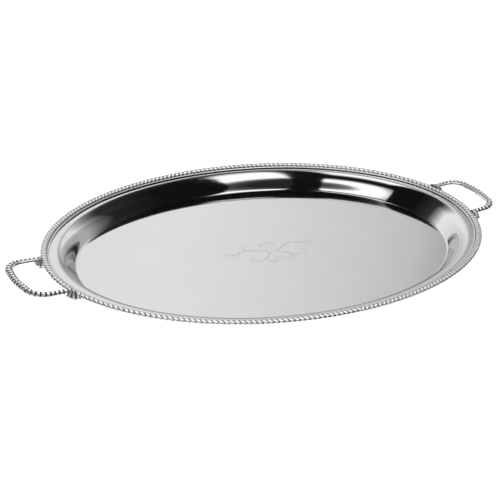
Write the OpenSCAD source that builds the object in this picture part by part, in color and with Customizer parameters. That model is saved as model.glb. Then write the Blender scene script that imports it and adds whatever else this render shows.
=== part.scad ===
/* [Outline] */
// Radius of the outline at the two ends
end_r = 139.5; // [130:0.5:150]
// Radius of the outline next to the ends
turn_r = 219.5; // [200:0.5:240]
// Radius of the outline next to the sides
flank_r = 279.5; // [260:0.5:300]
// Radius of the outline along the two long sides
side_r = 413.5; // [380:0.5:450]

/* [Section of the body] */
// Thickness of the pressed sheet
sheet = 1.2; // [0.8:0.1:1.6]
// Distance from the outline to the inner edge of the flat rim band
rim_width = 14; // [13:0.5:16]
// Radius of the rounded shoulder below the rim band
shoulder_r = 17; // [14:0.5:20]
// Length of the straight slope between the shoulder and the cove
slope_len = 15.1; // [12:0.1:17]
// Radius of the cove where the wall meets the well
cove_r = 4; // [3:0.5:6]

/* [Border] */
// Width of the row of gadroons
gadroon_width = 8.4; // [7:0.2:10]
// Thickness of the stamped border metal
border_sheet = 0.8; // [0.5:0.1:1]
// Radius of the bead along the inner side of the gadroons
bead_r = 1.3; // [1:0.1:1.6]
// Radius of the half-round wire below the edge of the rim
wire_r = 0.9; // [0.8:0.1:1]

/* [Handles] */
// Distance between the axes of a handle's two legs
leg_spacing = 80; // [74:1:90]
// Reach of the grip's axis beyond the end of the tray
handle_reach = 37.5; // [34:0.5:46]
// Radius of the grip and of its corners
grip_r = 4.6; // [3.8:0.1:5.2]
// Radius of a leg where it meets the border
leg_r = 3.4; // [3:0.1:3.8]
// Upward tilt of a handle in degrees
handle_tilt = 4.5; // [0:0.5:8]

/* [Hidden] */
$fn = 96;

silver = [0.80, 0.80, 0.79];
bright = [0.88, 0.88, 0.87];
wire_grey = [0.66, 0.66, 0.66];
solder_grey = [0.50, 0.51, 0.53];

// The outline is an oval that follows an ellipse closely. A quarter of it is four arcs,
// tangent to each other where the outline's normal has these directions.
DIRECTIONS = [[1, 0], [0.8432, 0.5376], [0.6, 0.8], [0.352, 0.936], [0, 1]];
RADII = [end_r, turn_r, flank_r, side_r];
steps = [for (i = [0:2]) (RADII[i + 1] - RADII[i]) * DIRECTIONS[i + 1]];
end_c = steps[0][0] + steps[1][0] + steps[2][0];
CENTRES = [
    [end_c, 0],
    [end_c, 0] - steps[0],
    [end_c, 0] - steps[0] - steps[1],
    [0, -steps[0][1] - steps[1][1] - steps[2][1]]
];
half_len = end_c + end_r;
half_width = CENTRES[3][1] + side_r;
wedge_reach = 1.25 * side_r;

// Section of the body: the shoulder, a straight slope and the cove, tangent to each other.
SLOPE = [-0.6, -0.8];
OUT_OF_SLOPE = [-0.8, 0.6];
shoulder_end = shoulder_r * OUT_OF_SLOPE + [0, -shoulder_r];
cove_start = shoulder_end + slope_len * SLOPE;
cove_centre = cove_start + cove_r * OUT_OF_SLOPE;
well_inset = rim_width - cove_centre[0];
rim_height = sheet + cove_r - cove_centre[1];

// Section of the border: an arch with an outer lip, and a bead on its inner side.
arch_r = gadroon_width / 2;
arch_z = rim_height + 1.3;
lip_bottom = rim_height - sheet - wire_r;
bead_z = rim_height + 0.8;
bead_x = -gadroon_width - bead_r + 0.2;

// Plan of a handle: straight legs, round corners and a slightly bowed grip.
grip_bow_r = 100;
corner_angle = 12;
corner_r = 21;
grip_c = half_len + handle_reach - grip_bow_r;
corner_cx = grip_c + (grip_bow_r - corner_r) * cos(corner_angle);
corner_cy = leg_spacing / 2 - corner_r;
leg_z = rim_height + 3;
leg_start = half_len - 12;

// A leaf is a thick crescent outside the border, and a lug is a strip below the rim.
leaf_r = 17;
leaf_bulge = 4.2;
leaf_shift = 3.5;
leaf_height = 8.2;
lug_angle = 7;
end_span = 32;
lug_reach = 3;
lug_inset = 12;

// A wedge that reaches past the outline, between two directions from its point.
module wedge(from, to)
    polygon([[0, 0], wedge_reach * from, wedge_reach * to]);

// Sweeps a section along a quarter of the outline. The section's x is 0 at the outline
// and negative inwards, and its y is the height.
module along_quarter() {
    for (i = [0:3])
        translate(CENTRES[i])
            intersection() {
                rotate_extrude()
                    translate([RADII[i], 0])
                        children();
                linear_extrude(2 * rim_height) wedge(DIRECTIONS[i], DIRECTIONS[i + 1]);
            }
}

// Repeats a quarter on all four sides.
module four_quarters() {
    for (x = [0, 1], y = [0, 1])
        mirror([x, 0, 0])
            mirror([0, y, 0])
                children();
}

// A quarter of the flat well, up to an arc at each of the outline's arcs.
module well_quarter() {
    linear_extrude(sheet)
        intersection() {
            for (i = [0:3])
                translate(CENTRES[i])
                    intersection() {
                        circle(RADII[i] - well_inset);
                        wedge(DIRECTIONS[i], DIRECTIONS[i + 1]);
                    }
            square([half_len, half_width]);
        }
}

// A bent strip of sheet in section: a ring sector about the origin, from straight up to
// the slope's normal.
module bend(outer_r) {
    reach = 2 * outer_r;
    intersection() {
        difference() {
            circle(outer_r);
            circle(outer_r - sheet);
        }
        polygon([[0, 0], [0, reach], [-reach, reach], reach * OUT_OF_SLOPE]);
    }
}

module wall_section() {
    translate([-rim_width, rim_height - sheet])
        square([rim_width - border_sheet, sheet]);
    translate([-rim_width, rim_height]) {
        translate([0, -shoulder_r]) bend(shoulder_r);
        polygon([
            shoulder_end,
            cove_start,
            cove_start - sheet * OUT_OF_SLOPE,
            shoulder_end - sheet * OUT_OF_SLOPE
        ]);
        translate(cove_centre) rotate(180) bend(cove_r + sheet);
    }
}

module arch(inset) {
    r = arch_r - inset;
    translate([-arch_r, arch_z])
        intersection() {
            circle(r);
            translate([-r, 0]) square([2 * r, r]);
        }
}

module border_section() {
    difference() {
        arch(0);
        arch(border_sheet);
    }
    translate([-border_sheet, lip_bottom])
        square([border_sheet, arch_z - lip_bottom]);
    translate([-gadroon_width, rim_height])
        square([border_sheet, arch_z - rim_height]);
    intersection() {
        translate([bead_x, bead_z]) circle(bead_r);
        translate([bead_x - bead_r, rim_height]) square([2 * bead_r - 0.2, 2 * bead_r]);
    }
}

module fill_section() {
    arch(border_sheet);
    translate([border_sheet - gadroon_width, rim_height])
        square([gadroon_width - 2 * border_sheet, arch_z - rim_height]);
}

module tray_body() color(bright)
    four_quarters() {
        along_quarter() wall_section();
        well_quarter();
    }

module edge_wire() color(wire_grey)
    four_quarters()
        along_quarter()
            translate([-border_sheet - wire_r, rim_height - sheet])
                intersection() {
                    circle(wire_r);
                    translate([-wire_r, -wire_r]) square([2 * wire_r, wire_r]);
                }

module border() color(silver) along_quarter() border_section();

module border_fill() color(solder_grey) along_quarter() fill_section();

// The solid outer shape of the border at the right-hand end, to fit pieces against it.
module border_block() {
    translate([end_c, 0, 0])
        rotate([0, 0, -end_span])
            rotate_extrude(angle = 2 * end_span)
                translate([end_r, 0]) {
                    arch(0);
                    translate([-gadroon_width, lip_bottom])
                        square([gadroon_width, arch_z - lip_bottom]);
                }
}

module tilted() {
    translate([half_len, 0, leg_z])
        rotate([0, -handle_tilt, 0])
            translate([-half_len, 0, 0])
                children();
}

module leg() {
    translate([leg_start, leg_spacing / 2, 0])
        rotate([0, 90, 0])
            cylinder(r1 = leg_r, r2 = grip_r, h = corner_cx - leg_start);
}

module bow() {
    for (side = [0, 1]) mirror([0, side, 0]) {
        leg();
        translate([corner_cx, corner_cy, 0])
            rotate([0, 0, corner_angle])
                rotate_extrude(angle = 90 - corner_angle)
                    translate([corner_r, 0]) circle(grip_r);
    }
    translate([grip_c, 0, 0])
        rotate([0, 0, -corner_angle])
            rotate_extrude(angle = 2 * corner_angle)
                translate([grip_bow_r, 0]) circle(grip_r);
}

module handle() color(bright)
    difference() {
        tilted() bow();
        border_block();
    }

// A leaf at the right-hand back leg, bored for the leg.
module leaf() color(silver)
    difference() {
        y = leg_spacing / 2 + leaf_shift;
        x = end_c + sqrt(end_r * end_r - y * y);
        translate([x + leaf_bulge - leaf_r, y, lip_bottom])
            cylinder(r = leaf_r, h = leaf_height);
        border_block();
        translate([end_c, 0, 0]) cylinder(r = end_r - gadroon_width / 2, h = 2 * rim_height);
        tilted() leg();
    }

// A lug at the right-hand back leg: a pad against the rim and a tongue below the leaf.
module lug() color(wire_grey)
    translate([end_c, 0, 0])
        rotate([0, 0, asin(leg_spacing / 2 / end_r) - lug_angle / 2])
            rotate_extrude(angle = lug_angle)
                translate([end_r, 0]) {
                    translate([-lug_inset, lip_bottom - 2])
                        square([lug_inset + lug_reach, 2]);
                    translate([-lug_inset, lip_bottom - 1])
                        square([lug_inset - 2 * wire_r - border_sheet, wire_r + 1]);
                }

tray_body();
edge_wire();
border();  // border_back_right
mirror([1, 0, 0]) border();  // border_back_left
rotate([0, 0, 180]) border();  // border_front_left
mirror([0, 1, 0]) border();  // border_front_right
border_fill();  // fill_back_right
mirror([1, 0, 0]) border_fill();  // fill_back_left
rotate([0, 0, 180]) border_fill();  // fill_front_left
mirror([0, 1, 0]) border_fill();  // fill_front_right
handle();  // handle_right
mirror([1, 0, 0]) handle();  // handle_left
leaf();  // leaf_right_back
mirror([0, 1, 0]) leaf();  // leaf_right_front
mirror([1, 0, 0]) leaf();  // leaf_left_back
rotate([0, 0, 180]) leaf();  // leaf_left_front
lug();  // lug_right_back
mirror([0, 1, 0]) lug();  // lug_right_front
mirror([1, 0, 0]) lug();  // lug_left_back
rotate([0, 0, 180]) lug();  // lug_left_front
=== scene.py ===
"""The looks of an oval silver tray with a gadrooned border and two bow handles.

Lengths are in metres, in the CAD frame: +X to the right-hand handle, +Z up, and the floor at z = 0.
"""
import math

import bpy
import numpy as np
from mathutils import Matrix, Vector


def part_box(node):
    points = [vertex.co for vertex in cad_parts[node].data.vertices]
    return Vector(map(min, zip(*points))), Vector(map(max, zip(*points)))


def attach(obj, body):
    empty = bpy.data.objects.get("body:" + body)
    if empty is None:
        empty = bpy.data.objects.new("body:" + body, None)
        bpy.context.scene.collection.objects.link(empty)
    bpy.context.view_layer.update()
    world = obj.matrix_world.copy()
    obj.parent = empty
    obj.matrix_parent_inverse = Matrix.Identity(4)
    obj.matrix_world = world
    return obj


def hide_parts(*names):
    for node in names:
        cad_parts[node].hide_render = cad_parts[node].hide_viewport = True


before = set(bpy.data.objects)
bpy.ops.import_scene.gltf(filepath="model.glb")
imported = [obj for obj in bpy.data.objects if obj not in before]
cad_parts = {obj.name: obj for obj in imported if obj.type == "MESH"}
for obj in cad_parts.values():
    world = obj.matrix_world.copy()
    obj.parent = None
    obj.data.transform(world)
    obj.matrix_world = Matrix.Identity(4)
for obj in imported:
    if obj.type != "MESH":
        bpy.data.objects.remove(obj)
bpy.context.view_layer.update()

MM = 0.001
# The border is made in four lengths. A quarter's signs say which way it lies along x and y.
QUARTERS = {
    "back_right": (1, 1),
    "back_left": (-1, 1),
    "front_left": (-1, -1),
    "front_right": (1, -1),
}

# ================================================================ sizes
# Taken from the CAD frame.
HALF_LEN, HALF_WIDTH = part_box("border_back_right")[1][:2]
LIP_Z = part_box("border_back_right")[0][2]
BORDER_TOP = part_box("border_back_right")[1][2]
RIM_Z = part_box("tray_body")[1][2]
GRIP_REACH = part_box("handle_right")[1][0]

# The body's section. Pairs are at the two ends and along the two sides of the tray.
SHEET = 1.2 * MM
RIM_WIDTH = (18 * MM, 12.5 * MM)
WELL_INSET = (45.8 * MM, 35 * MM)
WALL_ANGLE = (math.radians(47), math.radians(59))
WALL_BULGE = (0, math.radians(8))
COVE_R = 3.2 * MM
RIM_STEPS = (0, 0.04, 0.5, 0.97)
SHOULDER_STEPS = 26
SLOPE_STEPS = 12
COVE_STEPS = 16
BODY_STEPS = 512
# Sizes of the rings of faces across the well, as shares of the well's own size.
WELL_RINGS = (0.992, 0.97, 0.92, 0.82, 0.66, 0.48, 0.3, 0.14)

# The engraving. A stroke is x, y, heading in degrees, how it bends per mm at its start and its end,
# its length and its width, in mm. Each stroke is also there mirrored left to right.
ENGRAVING_X = 8
ENGRAVING_SCALE = 1.25
STROKES = (
    (0, -2, 25, 0.03, -0.1, 44, 1.1),
    (0, 3, -35, -0.04, 0.13, 38, 0.9),
    (5, 2, 75, -0.06, 0.36, 26, 0.8),
    (17, 6, 42, -0.1, 0.4, 20, 0.7),
    (30, 7, 12, -0.12, 0.3, 20, 0.7),
    (9, -4, -62, 0.05, -0.35, 25, 0.8),
    (23, -3, -32, 0.1, -0.42, 19, 0.7),
    (36, 2, -12, 0.02, 0.24, 19, 0.6),
    (2, -8, -80, 0.02, 0.3, 17, 0.6),
    (2, 8, 82, -0.02, -0.3, 15, 0.6),
)
STROKE_STEPS = 48
STROKE_TIP = 0.16
# A stroke's section: the side of its middle, and the height above the well in mm.
STROKE_SECTION = ((1, -0.2), (1, 0.02), (0, 0.05), (-1, 0.02), (-1, -0.2))

# The border.
GADROON_WIDTH = 8.4 * MM
ARCH_R = GADROON_WIDTH / 2
ARCH_Z = BORDER_TOP - ARCH_R
ARCH_HEIGHT = 3.2 * MM
ARCH_POWER = 0.8
BORDER_SHEET = 0.8 * MM
BEAD_R = 1.3 * MM
BEAD_X = -GADROON_WIDTH - BEAD_R + 0.2 * MM
BEAD_Z = RIM_Z + 0.8 * MM
BEAD_BOTTOM = RIM_Z + 0.1 * MM
LOBES = 62
LOBE_STEPS = 10
LOBE_DEPTH = 1.15 * MM
LOBE_LEAN = 0.8
LOBE_FULLNESS = 0.98
GROOVE_EDGES = (0.5, 0.85)
# The lobes narrow towards the bead, and get shallower over the crown and again at the bead.
LOBE_NARROWER = 0.4
SHALLOWER_OVER_CROWN = 0.25
SHALLOWER_AT_BEAD = 0.35
CROWN_CUT = 0.8
LIP_CUT, LIP_CUT_MORE = 0.25, 0.6
# How dark the painted shade is in the grooves on the lip and at the arch's foot, and in the creases beside
# the bead.
LIP_DARK = 0.2
FOOT_DARK = 0.35
CREASE_DARK = 0.8
BEAD_DARK = 0.9
INSIDE_GAP = 0.3 * MM
FILL_GAP = 0.35 * MM
FILL_END_ANGLE = 0.004

# The handles. The two differ a little: 1 is the right-hand one and -1 the left-hand one.
LEG_Y = 40 * MM
LEG_Z = RIM_Z + 3 * MM
LEG_START = HALF_LEN - 8 * MM
LEG_R = 3.9 * MM
GRIP_R = 5.1 * MM
CAD_GRIP_R = 4.6 * MM
HANDLE_TILT = {1: math.radians(4.5), -1: 0}
REACH_MORE = {1: -4 * MM, -1: 4 * MM}
HANDLE_OFFSET = 2.5 * MM
BOW_R = 100 * MM
CORNER_ANGLE = math.radians(12)
CORNER_R = 21 * MM
PATH_STEP = 0.6 * MM
HANDLE_STEP = 0.45 * MM
HANDLE_COLUMNS = 40
HANDLE_PITCH = 5.2 * MM
HANDLE_LOBE = 0.26
HANDLE_TWIST = 0.12
# How soon the bar gets to its full thickness, and how much lighter the painted shade in the grooves is
# underneath.
HANDLE_SWELL = 1.6
UNDERSIDE_LIGHTER = 0.8
# The inner side of a handle is smooth, from a seam at this angle from the outward direction; the seam is a
# shallow groove with a line of painted shade along it.
SEAM_ANGLE = math.radians(122)
SEAM_FADE = math.radians(105)
SEAM_WIDTH = math.radians(9)
SEAM_DEPTH = 0.12

# The leafy terminals. A leaf is a fan of lobes, longer on the side away from the handle's middle.
LEAF_REACH = 10.5
LEAF_OUTER_MORE = 3.5
LEAF_INNER_LESS = 1
LEAF_LOBES = 3.5
LEAF_NOTCH = 0.26
LEAF_SPREAD = math.radians(86)
LEAF_INSET = 2.5 * MM
LEAF_TOP = LEG_Z + 4.3 * MM
LEAF_FALL = 7 * MM
LEAF_RELIEF = 1.2 * MM
LEAF_THICK = 1.6 * MM

# ================================================================ polish
CLOUD_SCALE = 18
GRAIN_SCALE = 900
# How much of the dull colour the clouds bring, on plain pieces and on those with painted shade in their
# recesses.
CLOUD_SHADE = 0.28
CLOUD_SHADE_RECESSED = 0.05
# The hairline scratches: (angle, how fine) for each direction, and how fine they are across,
# along and in height. A noise above the first edge starts a scratch.
HAIRS = ((0.4, 1.0), (1.7, 1.3), (2.6, 0.8))
HAIR_SCALE = (1900, 26, 60)
HAIR_EDGES = (0.66, 0.78)
BUMP_STRENGTH = 0.15
BUMP_DISTANCE = 0.01 * MM
GRAIN_BUMP = 0.3

# ================================================================ camera
VIEW_TARGET = Vector((0, 0, SHEET))
VIEW_AZIMUTH = math.radians(-34.955)
VIEW_ELEVATION = math.radians(27.034)
VIEW_ROLL = math.radians(6.487)
VIEW_DISTANCE = 1.9706
VIEW_LENS = 116.81
SENSOR = 36
VIEW_SHIFT = (-0.0363, 0.0049)
AHEAD = Vector((-math.sin(VIEW_AZIMUTH), math.cos(VIEW_AZIMUTH), 0))

# ================================================================ studio
# A place in the studio is x and y in degrees from overhead: x to the right and y away from the viewer.

# The wall's top edge is at WALL_TOP straight ahead. It sinks to both sides, and softens there.
WALL_TOP = 55
WALL_TOP_RIGHT, WALL_TOP_LEFT = 0.3, 0.62
WALL_SOFTER = 0.06
WALL_FADE = ((-9, 0.0), (-2, 0.03), (0, 0.3), (3, 1.0), (18, 1.0))
# How bright the wall is, by the azimuth: 0 is straight ahead.
WALL_LIGHT = (
    (-180, 0.1), (-110, 0.35), (-80, 0.8), (-45, 0.85), (-15, 0.82), (-7, 0.775), (-4, 0.79),
    (0, 0.716), (2, 0.67), (3.5, 0.63), (5, 0.585), (6, 0.54), (7.5, 0.36), (9, 0.42),
    (12, 0.78), (30, 0.8), (60, 0.84), (85, 0.8), (110, 0.3), (180, 0.1),
)
# The wall is darker at its foot, between these angles from overhead, and more so to the right.
WALL_FOOT = (65, 76)
WALL_FOOT_AZIMUTHS = (-40, 30)
WALL_FOOT_DARKER = (0.12, 0.5)
# A low white card on the viewer's side, between these angles from overhead and left of its end.
FRONT_CARD = 0.85
FRONT_CARD_FROM = (77, 82)
FRONT_CARD_END = 30
CEILING_LIGHT = 0.006
# The ray depth that only a first reflection is below, and how much light a later one keeps.
FIRST_REFLECTION = 2.5
SECOND_BOUNCE = 0.7
# A softbox has a left and a right edge: x at y = 0, and how x changes with y above and below 0.
# "along" is its brightness by y. Later reflections show it only above "again_from".
SOFTBOXES = (
    {
        "left": (-13, 0.215, 0.55),
        "right": (5, -0.02, -0.16),
        "blur": 0.8,
        "again_from": -60,
        "along": (
            (-60, 0), (-54, 0.2), (-50, 1.1), (-38, 1.1), (-31, 0.46), (-24, 0.06), (-14, 0.005),
            (-3, 0.006), (7, 0.06), (12, 0.35), (17, 0.8), (26, 1.1), (38, 1.1), (45, 0.5), (52, 0.1),
            (56, 0),
        ),
    },
    {
        "left": (15.5, -0.23, -0.26),
        "right": (30.5, -0.57, -0.66),
        "blur": 0.8,
        "again_from": 17,
        "along": (
            (-48, 0.02), (-40, 0.08), (-34, 0.4), (-28, 1), (-20, 1.1), (18, 1.1), (28, 0.7), (34, 0.35),
            (44, 0.12), (52, 0.03), (54, 0),
        ),
    },
)
BORDER_LIGHT_WATTS = 8
BORDER_LIGHT_SIZE = 1.7
BORDER_LIGHT_DISTANCE = 1.5
BORDER_LIGHT_LEAN = math.radians(15)
FLOOR_HALF = 12
FLOOR_Z = -0.2 * MM


# ================================================================ mesh helpers
def smoothstep(low, high, value):
    t = np.clip((value - low) / (high - low), 0, 1)
    return t * t * (3 - 2 * t)


def make_mesh(name, vertices, faces, material, sharp_degrees=40):
    mesh = bpy.data.meshes.new(name)
    mesh.from_pydata([tuple(v) for v in vertices], [], faces)
    mesh.validate()
    mesh.shade_smooth()
    mesh.set_sharp_from_angle(angle=math.radians(sharp_degrees))
    mesh.materials.append(material)
    piece = bpy.data.objects.new(name, mesh)
    bpy.context.scene.collection.objects.link(piece)
    return piece


def store_painted_shade(piece, values):
    """Stores how much painted shade each vertex gets, for the material to read: dark in grooves, creases and
    hidden insides.
    """
    layer = piece.data.attributes.new("painted_shade", "FLOAT", "POINT")
    layer.data.foreach_set("value", np.asarray(values, dtype=np.float32).ravel())


def grid_faces(rows, columns, wrap_columns=False, flip=False):
    """Quads of a grid of vertices stored row by row."""
    faces = []
    for i in range(rows - 1):
        for j in range(columns if wrap_columns else columns - 1):
            a, b = i * columns + j, i * columns + (j + 1) % columns
            c, d = (i + 1) * columns + (j + 1) % columns, (i + 1) * columns + j
            faces.append((d, c, b, a) if flip else (a, b, c, d))
    return faces


def capped_sweep(name, grid, material, flip=False, sharp_degrees=40):
    """A closed section, one per row of the grid, swept along the rows and capped at both ends."""
    rows, columns = grid.shape[:2]
    faces = grid_faces(rows, columns, wrap_columns=True, flip=flip)
    first = tuple(range(columns))
    last = tuple((rows - 1) * columns + j for j in first)
    faces += [first, last[::-1]] if flip else [first[::-1], last]
    return make_mesh(name, grid.reshape(-1, 3), faces, material, sharp_degrees)


# ================================================================ the oval
def oval(angle, inset):
    """Points of the outline moved inwards by inset, where its normal points along angle."""
    nx, ny = np.cos(angle), np.sin(angle)
    reach = np.sqrt((HALF_LEN * nx) ** 2 + (HALF_WIDTH * ny) ** 2)
    return HALF_LEN**2 * nx / reach - inset * nx, HALF_WIDTH**2 * ny / reach - inset * ny


def even_angles(start, end, count, inset=0.0):
    """Normal angles at even steps along the outline."""
    fine = np.linspace(start, end, 4001)
    x, y = oval(fine, inset)
    run = np.concatenate([[0], np.cumsum(np.hypot(np.diff(x), np.diff(y)))])
    return np.interp(np.linspace(0, run[-1], count), run, fine)


# ================================================================ the body
def wall_rings(angles, lower):
    """(inset, height) of each ring from the rim's edge to the well's edge, on one side of the sheet.

    The wall is wider and gentler at the two ends of the tray than along its sides.
    """
    side = np.sin(angles) ** 2
    pairs = (RIM_WIDTH, WELL_INSET, WALL_ANGLE, WALL_BULGE)
    rim, well, slope, bulge = (at_end + (at_side - at_end) * side for at_end, at_side in pairs)
    middle = slope + np.outer(np.sin(np.pi * (np.arange(SLOPE_STEPS) + 0.5) / SLOPE_STEPS), bulge)
    along, down = np.cos(middle), np.sin(middle)

    # The radii of the two bends together, and the length between them, that give this run and fall.
    run, fall = well - rim, RIM_Z - SHEET
    mean_along, mean_down = along.mean(0), down.mean(0)
    determinant = np.sin(slope) * mean_down - mean_along * (1 - np.cos(slope))
    shoulder = (run * mean_down - fall * mean_along) / determinant - COVE_R
    length = (fall * np.sin(slope) - run * (1 - np.cos(slope))) / determinant

    drop = SHEET if lower else 0
    flat = np.full(len(angles), RIM_Z - drop)
    rings = [(BORDER_SHEET + t * (rim - BORDER_SHEET), flat) for t in RIM_STEPS]
    for t in np.linspace(0, 1, SHOULDER_STEPS):
        across, up = (shoulder - drop) * np.sin(slope * t), (shoulder - drop) * np.cos(slope * t)
        rings.append((rim + across, RIM_Z - shoulder + up))
    inset, height = rings[-1]
    for i in range(SLOPE_STEPS - 1):
        inset = inset + along[i] * length / SLOPE_STEPS
        height = height - down[i] * length / SLOPE_STEPS
        rings.append((inset, height))
    for t in np.linspace(1, 0, COVE_STEPS):
        across, up = (COVE_R + drop) * np.sin(slope * t), (COVE_R + drop) * np.cos(slope * t)
        rings.append((well - across, SHEET + COVE_R - up))
    return rings


def tray_body(material):
    angles = even_angles(0, 2 * math.pi, BODY_STEPS + 1)[:-1]

    def one_side(lower):
        """Rings of points from the rim's edge to the middle of the well."""
        rings = [np.stack([*oval(angles, inset), height], -1) for inset, height in wall_rings(angles, lower)]
        return rings + [rings[-1] * (share, share, 1) for share in WELL_RINGS]

    rings = one_side(lower=True)[::-1] + one_side(lower=False)
    middles = [(0, 0, 0), (0, 0, SHEET)]
    vertices = np.concatenate([np.array(rings).reshape(-1, 3), middles])
    below, above = len(vertices) - 2, len(vertices) - 1
    faces = grid_faces(len(rings), BODY_STEPS, wrap_columns=True)
    last = (len(rings) - 1) * BODY_STEPS
    faces += [(below, (j + 1) % BODY_STEPS, j) for j in range(BODY_STEPS)]
    faces += [(above, last + j, last + (j + 1) % BODY_STEPS) for j in range(BODY_STEPS)]
    return make_mesh("body_silver", vertices, faces, material)


# ================================================================ the engraving
def engraving(material):
    """Scrolls in the middle of the well: thin, swelling strokes that bend more or less along their length."""
    vertices, faces = [], []
    columns = len(STROKE_SECTION)
    t = np.linspace(0, 1, STROKE_STEPS + 1)
    for mirror in (1, -1):
        for x, y, heading, bend_start, bend_end, length, width in STROKES:
            angle = math.radians(heading) + length * (bend_start * t + (bend_end - bend_start) * t**2 / 2)
            step = length / STROKE_STEPS
            px = x + np.concatenate([[0], np.cumsum(np.cos(angle[:-1]) * step)])
            py = y + np.concatenate([[0], np.cumsum(np.sin(angle[:-1]) * step)])
            half = 0.5 * (STROKE_TIP + width * np.sin(math.pi * t) ** 0.8)
            start = len(vertices)
            for i in range(STROKE_STEPS + 1):
                nx, ny = -math.sin(angle[i]) * half[i], math.cos(angle[i]) * half[i]
                for sign, z in STROKE_SECTION:
                    across = (px[i] * ENGRAVING_SCALE + nx * sign) * mirror + ENGRAVING_X
                    away = py[i] * ENGRAVING_SCALE + ny * sign
                    vertices.append((across * MM, away * MM, SHEET + z * MM))
            stroke = grid_faces(STROKE_STEPS + 1, columns, wrap_columns=True, flip=mirror < 0)
            ends = [tuple(range(columns))[::-1], tuple(STROKE_STEPS * columns + j for j in range(columns))]
            stroke += ends if mirror > 0 else [face[::-1] for face in ends]
            faces += [tuple(start + v for v in face) for face in stroke]
    return make_mesh("engraving", vertices, faces, material)


# ================================================================ the border
def lobe_and_groove(across):
    """How full a lobe is and how much painted shade its grooves get. across runs from -1 to 1 over each lobe.
    """
    lobe = np.sqrt(np.clip(1 - (LOBE_FULLNESS * across) ** 2, 0, 1))
    return lobe, smoothstep(*GROOVE_EDGES, np.abs(across))


def border_line(kind, t, along):
    """x from the outline, the height and the painted shade of one line along the border's section."""
    turn = t if kind == "arch" else 0.0
    across = 2 * ((along + LOBE_LEAN * (turn - 0.5)) % 1) - 1
    narrow = 1 + LOBE_NARROWER * float(smoothstep(0.5, 1, turn))
    lobe, groove = lobe_and_groove(np.clip(across * narrow, -1, 1))
    if kind == "lip":
        cut = LOBE_DEPTH * (LIP_CUT + LIP_CUT_MORE * t) * (1 - lobe)
        return -cut, LIP_Z + t * (ARCH_Z - LIP_Z), LIP_DARK * groove
    if kind == "arch":
        fade = 1 - SHALLOWER_OVER_CROWN * float(smoothstep(0.2, 0.6, turn))
        fade -= SHALLOWER_AT_BEAD * float(smoothstep(0.6, 1, turn))
        cut = LOBE_DEPTH * fade * (1 - lobe)
        out, up = math.cos(math.pi * turn), math.sin(math.pi * turn)
        x = -ARCH_R + (ARCH_R - cut) * math.copysign(abs(out) ** ARCH_POWER, out)
        z = ARCH_Z + (ARCH_HEIGHT - CROWN_CUT * cut) * max(up, 0) ** ARCH_POWER
        # Painted shade in the grooves, and in the crease where the arch meets the bead.
        dark = fade * (FOOT_DARK + (1 - FOOT_DARK) * float(smoothstep(0.1, 0.45, turn)))
        return x, z, groove * dark + CREASE_DARK * float(smoothstep(0.9, 1, turn))
    if kind == "bead":
        a = math.pi * t
        z = max(BEAD_Z + BEAD_R * math.sin(a), BEAD_BOTTOM)
        return BEAD_X + BEAD_R * math.cos(a), z, BEAD_DARK if t == 0 else 0.0
    # The border's hidden inside and the lip's hem are painted fully dark, as shade.
    if kind == "inside":
        a = math.pi * (1 - t)
        below = LOBE_DEPTH + INSIDE_GAP
        z = RIM_Z + (ARCH_Z - RIM_Z + ARCH_HEIGHT - below) * math.sin(a)
        return -ARCH_R + (ARCH_R - below) * math.cos(a), z, 1
    return -BORDER_SHEET - LOBE_DEPTH * 0.5, LIP_Z, 1


def border_quarter(name, sides, material):
    """One length of die-struck border: leaning gadroons over an arch, and a bead beside them."""
    count = LOBES * LOBE_STEPS + 1
    angles = even_angles(0, math.pi / 2, count, ARCH_R)
    along = np.linspace(0, LOBES, count)

    # The section: up the lip, over the arch and the bead, back along the inside, and the lip's hem.
    section = [("lip", t) for t in (0, 0.12, 0.4, 0.7)]
    for kind, steps in (("arch", 19), ("bead", 8), ("inside", 7), ("hem", 1)):
        section += [(kind, t) for t in np.linspace(0, 1, steps)]
    grid = np.zeros((count, len(section), 3))
    painted_shade = np.zeros(grid.shape[:2])
    for column, (kind, t) in enumerate(section):
        x, z, painted_shade[:, column] = border_line(kind, t, along)
        px, py = oval(angles, -x)
        grid[:, column, 0], grid[:, column, 1], grid[:, column, 2] = px * sides[0], py * sides[1], z
    piece = capped_sweep(name, grid, material, flip=sides[0] * sides[1] > 0, sharp_degrees=70)
    store_painted_shade(piece, painted_shade)
    return piece


def fill_quarter(name, sides, material):
    """The solder inside one length of border."""
    angles = even_angles(FILL_END_ANGLE, math.pi / 2 - FILL_END_ANGLE, 80, ARCH_R)
    below = LOBE_DEPTH + FILL_GAP
    half, height = ARCH_R - below, ARCH_Z - RIM_Z + ARCH_HEIGHT - below
    turns = np.linspace(0, math.pi, 13)
    grid = np.zeros((len(angles), len(turns), 3))
    for column, turn in enumerate(turns):
        px, py = oval(angles, ARCH_R - half * math.cos(turn))
        z = RIM_Z + height * math.sin(turn)
        grid[:, column, 0], grid[:, column, 1], grid[:, column, 2] = px * sides[0], py * sides[1], z
    return capped_sweep(name, grid, material, flip=sides[0] * sides[1] > 0)


# ================================================================ the handles
def handle_path(side):
    """A handle's axis in plan, from the back leg to the front one."""
    bow_centre = GRIP_REACH + REACH_MORE[side] - CAD_GRIP_R - BOW_R
    corner_x = bow_centre + (BOW_R - CORNER_R) * math.cos(CORNER_ANGLE)
    corner_y = LEG_Y - CORNER_R
    points = [(x, LEG_Y) for x in np.arange(LEG_START, corner_x, PATH_STEP)]
    corner_steps = int((math.pi / 2 - CORNER_ANGLE) * CORNER_R / PATH_STEP)
    for a in np.linspace(math.pi / 2, CORNER_ANGLE, corner_steps):
        points.append((corner_x + CORNER_R * math.cos(a), corner_y + CORNER_R * math.sin(a)))
    for a in np.linspace(CORNER_ANGLE, 0, int(CORNER_ANGLE * BOW_R / PATH_STEP))[1:]:
        points.append((bow_centre + BOW_R * math.cos(a), BOW_R * math.sin(a)))
    half = np.array(points)
    return np.concatenate([half, half[-2::-1] * (1, -1)])


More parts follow.
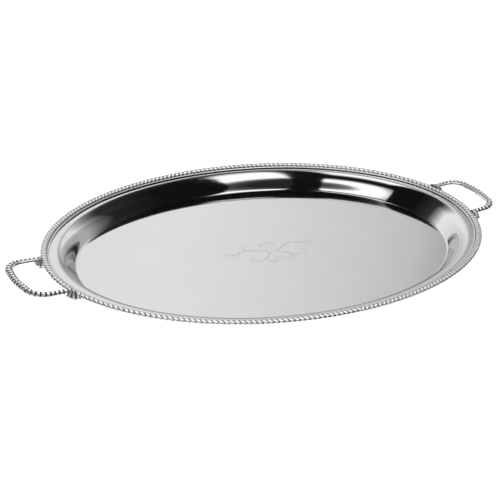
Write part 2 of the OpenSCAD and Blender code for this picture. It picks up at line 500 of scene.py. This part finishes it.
def handle(name, side, material):
    """A bow with gadroons round its outer side, thickest in the middle."""
    path = handle_path(side)
    run = np.concatenate([[0], np.cumsum(np.hypot(*np.diff(path, axis=0).T))])
    even = np.linspace(0, run[-1], int(run[-1] / HANDLE_STEP))
    x, y = np.interp(even, run, path[:, 0]), np.interp(even, run, path[:, 1])
    tangent = np.stack([np.gradient(x), np.gradient(y)], -1)
    tangent /= np.linalg.norm(tangent, axis=1)[:, None]
    outward = np.stack([-tangent[:, 1], tangent[:, 0]], -1)
    from_middle = np.abs(even - run[-1] / 2) / (run[-1] / 2)
    swell = smoothstep(0, 1, 1 - from_middle**1.2)
    radius = LEG_R + (GRIP_R - LEG_R) * np.clip(HANDLE_SWELL * swell, 0, 1)
    lobes = round(run[-1] / HANDLE_PITCH)

    grid = np.zeros((len(even), HANDLE_COLUMNS, 3))
    painted_shade = np.zeros(grid.shape[:2])
    for column in range(HANDLE_COLUMNS):
        a = 2 * math.pi * column / HANDLE_COLUMNS
        from_outward = abs((a + math.pi) % (2 * math.pi) - math.pi)
        across = 2 * ((even / run[-1] * lobes + HANDLE_TWIST * math.sin(a)) % 1) - 1
        lobe, groove = lobe_and_groove(across)
        gadrooned = 1 - float(smoothstep(SEAM_FADE, SEAM_ANGLE, from_outward))
        seam = math.exp(-(((from_outward - SEAM_ANGLE) / SEAM_WIDTH) ** 2))
        underneath = float(smoothstep(-0.7, 0.3, -math.sin(a)))
        # The grooves and the seam get painted shade, less of it underneath.
        painted_shade[:, column] = gadrooned * groove * (1 - UNDERSIDE_LIGHTER * underneath) + seam
        r = radius * (1 - HANDLE_LOBE * gadrooned * (1 - lobe) - SEAM_DEPTH * seam)
        out, up = r * math.cos(a), r * math.sin(a)
        px = x + outward[:, 0] * out
        lift = (px - HALF_LEN) * math.tan(HANDLE_TILT[side])
        grid[:, column, 0] = px * side
        grid[:, column, 1] = y + outward[:, 1] * out + HANDLE_OFFSET
        grid[:, column, 2] = LEG_Z + lift + up
    piece = capped_sweep(name, grid, material, flip=side < 0, sharp_degrees=60)
    store_painted_shade(piece, np.clip(painted_shade, 0, 1))
    return piece


# ================================================================ the leafy terminals
def leaf(name, sides, material):
    """A fan of lobes outside the border, over the joint of a leg."""
    spread, rings = 61, 13
    ring_places = np.linspace(0, 1, rings)
    grid = np.zeros((spread, rings, 3))
    painted_shade = np.zeros((spread, rings))
    for i, turn in enumerate(np.linspace(-1, 1, spread)):
        lobe = abs(math.cos(turn * LEAF_LOBES * math.pi))
        outer, inner = float(smoothstep(0, 0.8, turn)), float(smoothstep(0.1, 1, -turn))
        reach = (LEAF_REACH + LEAF_OUTER_MORE * outer - LEAF_INNER_LESS * inner) * MM
        reach *= 1 - LEAF_NOTCH + LEAF_NOTCH * lobe**0.6
        a = turn * LEAF_SPREAD
        for j, t in enumerate(ring_places):
            relief = LEAF_RELIEF * (lobe - 0.5) * math.sin(math.pi * min(1, t * 1.1))
            z = LEAF_TOP - LEAF_FALL * t**2 + relief
            grid[i, j] = (reach * t * math.cos(a), reach * t * math.sin(a), z)
            # The gaps between the leaf's lobes get painted shade, growing outwards from the middle.
            painted_shade[i, j] = (1 - lobe) * min(1, 2 * t)
    y = LEG_Y + grid[..., 1]
    edge = HALF_LEN * np.cos(np.arcsin(np.clip(y / HALF_WIDTH, -1, 1)))
    top = np.stack([(edge - LEAF_INSET + grid[..., 0]) * sides[0], y * sides[1], grid[..., 2]], -1)
    low = top.copy()
    low[..., 2] = np.maximum(top[..., 2] - LEAF_THICK * (1 - 0.6 * ring_places), LIP_Z)

    # The two surfaces, and a band round their common edge.
    flip = sides[0] * sides[1] < 0
    vertices = np.concatenate([top.reshape(-1, 3), low.reshape(-1, 3)])
    offset = spread * rings
    faces = grid_faces(spread, rings, flip=not flip)
    faces += [tuple(offset + v for v in face[::-1]) for face in faces]
    loop = list(range(rings)) + [i * rings + rings - 1 for i in range(1, spread)]
    loop += [(spread - 1) * rings + j for j in range(rings - 2, -1, -1)]
    loop += [i * rings for i in range(spread - 2, 0, -1)]
    for a, b in zip(loop, loop[1:] + loop[:1]):
        quad = (a, b, b + offset, a + offset)
        faces.append(quad if flip else quad[::-1])
    piece = make_mesh(name, vertices, faces, material, 50)
    store_painted_shade(piece, np.concatenate([painted_shade, painted_shade]))
    return piece


# ================================================================ shader nodes
class Graph:
    """A node tree, with a short method for each kind of node. Inputs are numbers or other nodes' outputs."""

    def __init__(self, tree):
        self.nodes, self.links = tree.nodes, tree.links
        self.nodes.clear()

    def add(self, kind):
        return self.nodes.new("ShaderNode" + kind)

    def put(self, socket, value):
        if isinstance(value, bpy.types.NodeSocket):
            self.links.new(value, socket)
        else:
            socket.default_value = value

    def math(self, operation, first, second=0):
        node = self.add("Math")
        node.operation = operation
        self.put(node.inputs[0], first)
        self.put(node.inputs[1], second)
        return node.outputs["Value"]

    def dot(self, vector, direction):
        node = self.add("VectorMath")
        node.operation = "DOT_PRODUCT"
        self.put(node.inputs[0], vector)
        self.put(node.inputs[1], direction)
        return node.outputs["Value"]

    def map_range(self, source, low, high, to_low, to_high):
        node = self.add("MapRange")
        sockets = ("Value", "From Min", "From Max", "To Min", "To Max")
        for socket, value in zip(sockets, (source, low, high, to_low, to_high)):
            self.put(node.inputs[socket], value)
        return node.outputs["Result"]

    def curve(self, source, stops):
        """A function of one number, straight between (number, value) stops."""
        low, high = stops[0][0], stops[-1][0]
        node = self.add("ValToRGB")
        elements = node.color_ramp.elements
        while len(elements) < len(stops):
            elements.new(0.5)
        for element, (number, value) in zip(elements, stops):
            element.position = (number - low) / (high - low)
            element.color = (value, value, value, 1)
        self.put(node.inputs["Fac"], self.map_range(source, low, high, 0, 1))
        return node.outputs["Color"]

    def noise(self, vector, scale, detail, roughness=0.5):
        node = self.add("TexNoise")
        self.put(node.inputs["Vector"], vector)
        self.put(node.inputs["Scale"], scale)
        self.put(node.inputs["Detail"], detail)
        self.put(node.inputs["Roughness"], roughness)
        return node.outputs["Fac"]

    def stretched(self, vector, scale, angle):
        node = self.add("Mapping")
        self.put(node.inputs["Vector"], vector)
        self.put(node.inputs["Scale"], scale)
        self.put(node.inputs["Rotation"], (0, 0, angle))
        return node.outputs["Vector"]

    def strip(self, x, left, right, blur):
        """1 between two edges, and soft by blur at each."""
        inside_left = self.map_range(self.math("SUBTRACT", x, left), -blur, blur, 0, 1)
        inside_right = self.map_range(self.math("SUBTRACT", right, x), -blur, blur, 0, 1)
        return self.math("MULTIPLY", inside_left, inside_right)

    def bent_line(self, y, start, upper, lower):
        """start + upper * y above 0, and start + lower * y below 0."""
        above = self.math("MULTIPLY", self.math("MAXIMUM", y, 0), upper)
        below = self.math("MULTIPLY", self.math("MINIMUM", y, 0), lower)
        return self.math("ADD", self.math("ADD", above, below), start)


# ================================================================ materials
def new_material(name):
    material = bpy.data.materials.new(name)
    material.use_nodes = True
    g = Graph(material.node_tree)
    shader = g.add("BsdfPrincipled")
    g.put(g.add("OutputMaterial").inputs["Surface"], shader.outputs["BSDF"])
    return material, g, shader


def hairlines(g, place):
    """1 on fine scratches in three directions, and 0 between them."""
    hairs = None
    across, along, up = HAIR_SCALE
    for angle, fine in HAIRS:
        lines = g.noise(g.stretched(place, (across * fine, along * fine, up), angle), 1, 2)
        line = g.map_range(lines, *HAIR_EDGES, 0, 1)
        hairs = line if hairs is None else g.math("MAXIMUM", hairs, line)
    return hairs


def silver(name, colour, dull, roughness, wear, painted_shade=None):
    """Polished silver: cloudy polish, hairline scratches, and grey left where a polishing cloth misses.

    The last argument gives the two stored values between which the dull colour comes in as painted shade, on
    pieces that store painted shade for their grooves, creases and hidden insides.
    """
    material, g, shader = new_material(name)
    place = g.add("TexCoord").outputs["Object"]
    cloud = g.noise(place, CLOUD_SCALE, 4, 0.55)
    grain = g.noise(place, GRAIN_SCALE, 2)
    hairs = hairlines(g, place)

    tone_and_painted_shade = g.map_range(cloud, 0.3, 0.7, 0, CLOUD_SHADE_RECESSED if painted_shade else CLOUD_SHADE)
    # On pieces that store painted shade, the dull colour is painted into grooves, creases and hidden insides
    # as shade.
    if painted_shade:
        attribute = g.add("Attribute")
        attribute.attribute_name = "painted_shade"
        tone_and_painted_shade = g.math("MAXIMUM", tone_and_painted_shade, g.map_range(attribute.outputs["Fac"], *painted_shade, 0, 1))
    mix = g.add("Mix")
    mix.data_type = "RGBA"
    g.put(mix.inputs["Factor"], tone_and_painted_shade)
    g.put(mix.inputs["A"], (*colour, 1))
    g.put(mix.inputs["B"], (*dull, 1))
    g.put(shader.inputs["Base Color"], mix.outputs["Result"])

    rough = g.map_range(cloud, 0.3, 0.75, roughness, roughness + wear * 0.5)
    rough = g.math("ADD", rough, g.math("MULTIPLY", hairs, wear))
    g.put(shader.inputs["Roughness"], rough)
    bump = g.add("Bump")
    g.put(bump.inputs["Strength"], BUMP_STRENGTH)
    g.put(bump.inputs["Distance"], BUMP_DISTANCE)
    g.put(bump.inputs["Height"], g.math("SUBTRACT", g.math("MULTIPLY", grain, GRAIN_BUMP), hairs))
    g.put(shader.inputs["Normal"], bump.outputs["Normal"])
    shader.inputs["Metallic"].default_value = 1.0
    return material


# ================================================================ stage, light and camera
def floor():
    h = FLOOR_HALF
    mesh = bpy.data.meshes.new("floor")
    mesh.from_pydata([(-h, -h, 0), (h, -h, 0), (h, h, 0), (-h, h, 0)], [], [(0, 1, 2, 3)])
    material, _, shader = new_material("floor_white")
    shader.inputs["Base Color"].default_value = (0.9, 0.9, 0.9, 1)
    shader.inputs["Roughness"].default_value = 0.9
    shader.inputs["Emission Color"].default_value = (1, 1, 1, 1)
    shader.inputs["Emission Strength"].default_value = 1.0
    mesh.materials.append(material)
    piece = bpy.data.objects.new("floor", mesh)
    piece.location.z = FLOOR_Z
    bpy.context.scene.collection.objects.link(piece)


def back_wall(g, x, y, from_zenith, azimuth):
    """The light of the wall behind the tray."""
    sideways = g.bent_line(x, 0, WALL_TOP_RIGHT, -WALL_TOP_LEFT)
    over_edge = g.math("SUBTRACT", g.math("ADD", y, sideways), WALL_TOP)
    softness = g.math("MULTIPLY", g.math("ABSOLUTE", x), WALL_SOFTER)
    over_edge = g.math("DIVIDE", over_edge, g.math("ADD", softness, 1))
    light = g.math("MULTIPLY", g.curve(azimuth, WALL_LIGHT), g.curve(over_edge, WALL_FADE))
    at_foot = g.map_range(from_zenith, *WALL_FOOT, 0, 1)
    darker = g.map_range(azimuth, *WALL_FOOT_AZIMUTHS, *WALL_FOOT_DARKER)
    return g.math("MULTIPLY", light, g.math("SUBTRACT", 1, g.math("MULTIPLY", at_foot, darker)))


def front_card(g, x, y, from_zenith):
    """The light of the low card on the viewer's side."""
    card = g.map_range(from_zenith, *FRONT_CARD_FROM, 0, FRONT_CARD)
    card = g.math("MULTIPLY", card, g.math("LESS_THAN", y, 0))
    return g.math("MULTIPLY", card, g.math("LESS_THAN", x, FRONT_CARD_END))


def softbox(g, box, x, y, first):
    """The light of one softbox."""
    mask = g.strip(x, g.bent_line(y, *box["left"]), g.bent_line(y, *box["right"]), box["blur"])
    seen = g.math("MAXIMUM", first, g.math("GREATER_THAN", y, box["again_from"]))
    return g.math("MULTIPLY", g.math("MULTIPLY", mask, seen), g.curve(y, box["along"]))


def studio():
    """A white wall behind the tray, a dark ceiling, a low card in front, and two softboxes overhead."""
    world = bpy.data.worlds.new("studio")
    bpy.context.scene.world = world
    world.use_nodes = True
    g = Graph(world.node_tree)
    background = g.add("Background")
    g.put(g.add("OutputWorld").inputs["Surface"], background.outputs["Background"])

    direction = g.add("TexCoord").outputs["Generated"]
    rightwards = g.dot(direction, (AHEAD.y, -AHEAD.x, 0))
    forwards = g.dot(direction, AHEAD)
    overhead = g.dot(direction, (0, 0, 1))
    from_zenith = g.math("MULTIPLY", g.math("ARCCOSINE", overhead), math.degrees(1))
    azimuth = g.math("ARCTAN2", rightwards, forwards)
    x = g.math("MULTIPLY", from_zenith, g.math("SINE", azimuth))
    y = g.math("MULTIPLY", from_zenith, g.math("COSINE", azimuth))
    azimuth = g.math("MULTIPLY", azimuth, math.degrees(1))

    light = g.math("ADD", back_wall(g, x, y, from_zenith, azimuth), CEILING_LIGHT)
    light = g.math("MAXIMUM", light, front_card(g, x, y, from_zenith))
    first = g.math("LESS_THAN", g.add("LightPath").outputs["Ray Depth"], FIRST_REFLECTION)
    for box in SOFTBOXES:
        light = g.math("MAXIMUM", light, softbox(g, box, x, y, first))
    kept = g.math("ADD", g.math("MULTIPLY", first, 1 - SECOND_BOUNCE), SECOND_BOUNCE)
    g.put(background.inputs["Color"], g.math("MULTIPLY", light, kept))
    background.inputs["Strength"].default_value = 1.0


def border_light(pieces):
    """A soft overhead light that falls only on the ornament, which the dark ceiling leaves too dim."""
    data = bpy.data.lights.new("border_light", "AREA")
    data.size = BORDER_LIGHT_SIZE
    data.energy = BORDER_LIGHT_WATTS
    piece = bpy.data.objects.new("border_light", data)
    towards = AHEAD * math.sin(BORDER_LIGHT_LEAN) + Vector((0, 0, math.cos(BORDER_LIGHT_LEAN)))
    piece.location = towards * BORDER_LIGHT_DISTANCE
    piece.rotation_euler = towards.to_track_quat("Z", "Y").to_euler()
    bpy.context.scene.collection.objects.link(piece)
    receivers = bpy.data.collections.new("ornament")
    for lit in pieces:
        receivers.objects.link(lit)
    piece.light_linking.receiver_collection = receivers


def camera():
    data = bpy.data.cameras.new("camera")
    data.lens = VIEW_LENS
    data.sensor_width = SENSOR
    data.shift_x, data.shift_y = VIEW_SHIFT
    data.clip_start, data.clip_end = 0.05, 60
    back = -AHEAD * math.cos(VIEW_ELEVATION) + Vector((0, 0, math.sin(VIEW_ELEVATION)))
    right = Vector((AHEAD.y, -AHEAD.x, 0))
    up = back.cross(right)
    rolled_right = right * math.cos(VIEW_ROLL) + up * math.sin(VIEW_ROLL)
    rolled_up = -right * math.sin(VIEW_ROLL) + up * math.cos(VIEW_ROLL)
    piece = bpy.data.objects.new("camera", data)
    axes = Matrix((rolled_right, rolled_up, back)).transposed().to_4x4()
    piece.matrix_world = Matrix.Translation(VIEW_TARGET + back * VIEW_DISTANCE) @ axes
    bpy.context.scene.collection.objects.link(piece)
    bpy.context.scene.camera = piece


# ================================================================ the tray
def stand_for(piece, node):
    """Puts a piece in place of a CAD node."""
    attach(piece, "root")
    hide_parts(node)
    return piece


bpy.context.scene.view_settings.view_transform = "Standard"
camera()
studio()
floor()

BRIGHT = (0.98, 0.975, 0.965)
TRAY = silver("tray_silver", (0.93, 0.925, 0.915), (0.84, 0.83, 0.82), roughness=0.05, wear=0.05)
# The border, terminals and handles mix a near-black colour into their grooves and creases as painted shade.
BORDER = silver("border_silver", BRIGHT, (0.05, 0.048, 0.045), 0.28, 0.06, painted_shade=(0.25, 0.95))
HANDLE = silver("handle_silver", BRIGHT, (0.02, 0.019, 0.018), 0.28, 0.08, painted_shade=(0.25, 0.95))
ENGRAVED = silver("engraved_silver", (0.9, 0.895, 0.885), (0.8, 0.795, 0.79), 0.3, 0.1)
WIRE = silver("wire_silver", (0.66, 0.655, 0.65), (0.5, 0.49, 0.48), 0.2, 0.1)
SOLDER = silver("solder", (0.5, 0.51, 0.53), (0.35, 0.35, 0.36), 0.5, 0.1)

stand_for(tray_body(TRAY), "tray_body")
scrolls = engraving(ENGRAVED)
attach(scrolls, "root")

ornament = []
for quarter, sides in QUARTERS.items():
    gadroons = border_quarter("gadroons_" + quarter, sides, BORDER)
    ornament.append(stand_for(gadroons, "border_" + quarter))
    stand_for(fill_quarter("solder_" + quarter, sides, SOLDER), "fill_" + quarter)
for name, side in (("right", 1), ("left", -1)):
    bow = handle("bow_" + name, side, HANDLE)
    ornament.append(stand_for(bow, "handle_" + name))
    for place, away in (("back", 1), ("front", -1)):
        corner = f"{name}_{place}"
        terminal = leaf("terminal_" + corner, (side, away), BORDER)
        ornament.append(stand_for(terminal, "leaf_" + corner))
border_light(ornament)

for node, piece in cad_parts.items():
    if node == "edge_wire" or node.startswith("lug_"):
        piece.data.materials.clear()
        piece.data.materials.append(WIRE)
